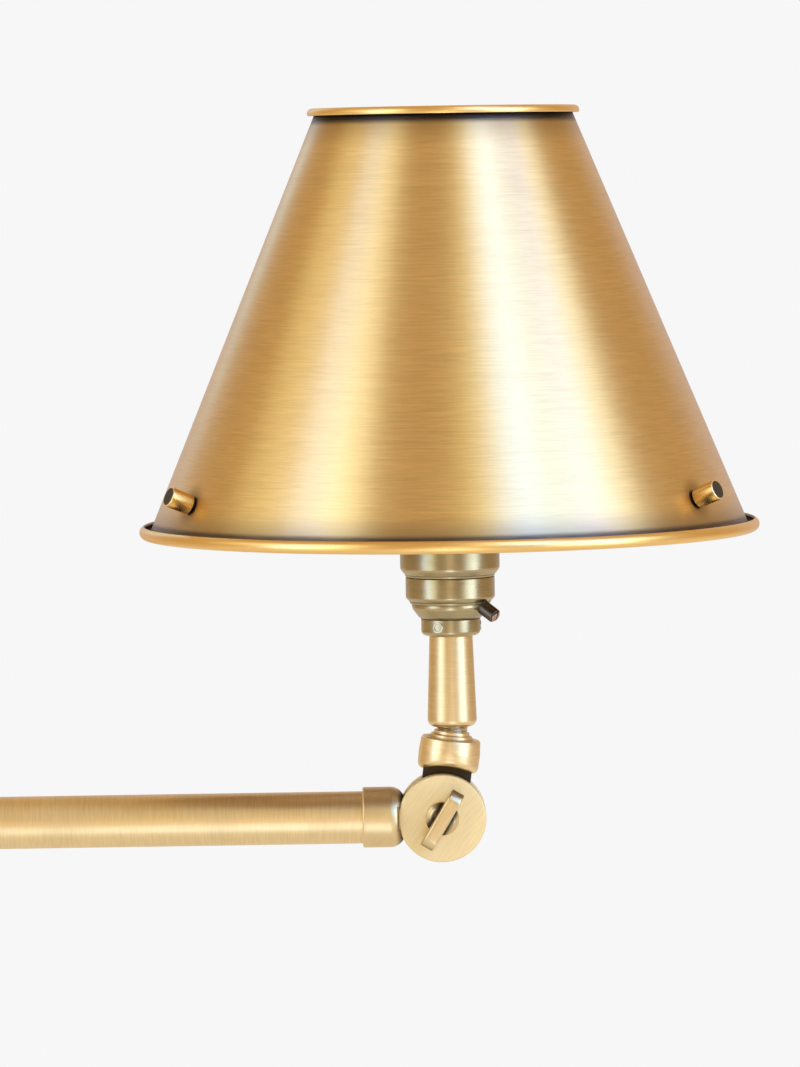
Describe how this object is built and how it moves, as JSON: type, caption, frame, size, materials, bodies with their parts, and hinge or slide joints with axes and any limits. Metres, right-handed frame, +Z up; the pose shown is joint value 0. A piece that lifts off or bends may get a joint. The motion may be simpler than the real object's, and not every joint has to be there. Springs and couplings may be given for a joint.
{
  "type": "swing arm wall light",
  "caption": "Wall light with jointed brass swing arms, wing screw knuckles and a conical metal shade standing on a lamp holder.",
  "frame": {"origin": "centre of the wall bracket's back face, in the plane of the wall", "axes": "+Z up; the wall is the plane Y = 0 and the room is at -Y; +X to the right as seen from the room"},
  "size_m": [0.4389, 0.4279, 0.3287],
  "materials": {
    "shade_brass": "brushed, aged, warm gold",
    "arm_brass": "brushed, pale gold",
    "holder_brass": "brushed, grey green gold",
    "nickel": "satin nickel plate",
    "steel": "zinc plated",
    "dark_steel": "blackened",
    "copper": "copper coloured, worn",
    "porcelain": "glazed porcelain",
    "plastic": "moulded",
    "cable_jacket": "matt",
    "opal_glass": "opal, white inside"
  },
  "bodies": {
    "wall_plate": {"backplate": "arm_brass", "wall_bracket": "steel", "bracket_stud_left": "steel", "bracket_stud_right": "steel", "cap_nut_left": "arm_brass", "cap_nut_right": "arm_brass", "bracket_earth_screw": "steel", "terminal_block": "plastic", "boss_washer": "arm_brass", "wall_nipple": "nickel", "wall_lock_nut": "steel", "wall_cable": "cable_jacket", "wall_fork": "arm_brass"},
    "wall_screw": {"wall_wing_screw": "arm_brass"},
    "rear_arm": {"wall_tongue": "arm_brass", "wall_tongue_washer_top": "nickel", "wall_tongue_washer_bottom": "nickel", "rear_arm_tube": "arm_brass", "rear_arm_cable": "cable_jacket", "elbow_fork": "arm_brass"},
    "elbow_screw": {"elbow_wing_screw": "arm_brass"},
    "front_arm": {"elbow_tongue": "arm_brass", "elbow_tongue_washer_top": "nickel", "elbow_tongue_washer_bottom": "nickel", "front_arm_tube": "arm_brass", "front_arm_cable": "cable_jacket", "head_fork": "arm_brass"},
    "head_screw": {"head_wing_screw": "arm_brass"},
    "head": {"head_tongue": "arm_brass", "head_washer_front": "nickel", "head_washer_rear": "nickel", "stem_ring": "arm_brass", "stem_ring_step": "dark_steel", "stem_nipple": "nickel", "stem_cable": "cable_jacket", "stem": "arm_brass", "holder_cap": "holder_brass", "grub_screw_1": "nickel", "grub_screw_2": "nickel", "grub_screw_3": "nickel", "earth_terminal": "dark_steel", "earth_terminal_screw": "copper", "holder_body": "holder_brass", "holder_skirt": "holder_brass", "holder_insert": "porcelain", "contact_plunger_1": "copper", "contact_plunger_2": "copper", "bayonet_sleeve": "arm_brass", "shade_ring_nut": "holder_brass", "shade_carrier": "arm_brass", "shade": "shade_brass", "shade_knob_1": "shade_brass", "shade_knob_2": "shade_brass", "shade_knob_3": "shade_brass", "bulb_cap": "nickel", "bulb_glass": "opal_glass"}
  },
  "joints": [
    {"name": "wall_swing", "type": "hinge", "parent": "wall_plate", "child": "rear_arm", "pos_m": [0, -0.0485, 0], "axis": [0, 0, 1], "range_deg": [-80, 80]},
    {"name": "elbow_swing", "type": "hinge", "parent": "rear_arm", "child": "front_arm", "pos_m": [0, -0.3085, 0], "axis": [0, 0, 1], "range_deg": [-195, 15]},
    {"name": "head_tilt", "type": "hinge", "parent": "front_arm", "child": "head", "pos_m": [0.26, -0.3085, 0], "axis": [0, 1, 0], "range_deg": [-20, 185]},
    {"name": "wall_screw_turn", "type": "hinge", "parent": "wall_plate", "child": "wall_screw", "pos_m": [0, -0.0485, 0], "axis": [0, 0, 1], "range_deg": [0, 360]},
    {"name": "elbow_screw_turn", "type": "hinge", "parent": "rear_arm", "child": "elbow_screw", "pos_m": [0, -0.3085, 0], "axis": [0, 0, 1], "range_deg": [0, 360]},
    {"name": "head_screw_turn", "type": "hinge", "parent": "front_arm", "child": "head_screw", "pos_m": [0.26, -0.3085, 0], "axis": [0, -1, 0], "range_deg": [0, 360]}
  ]
}
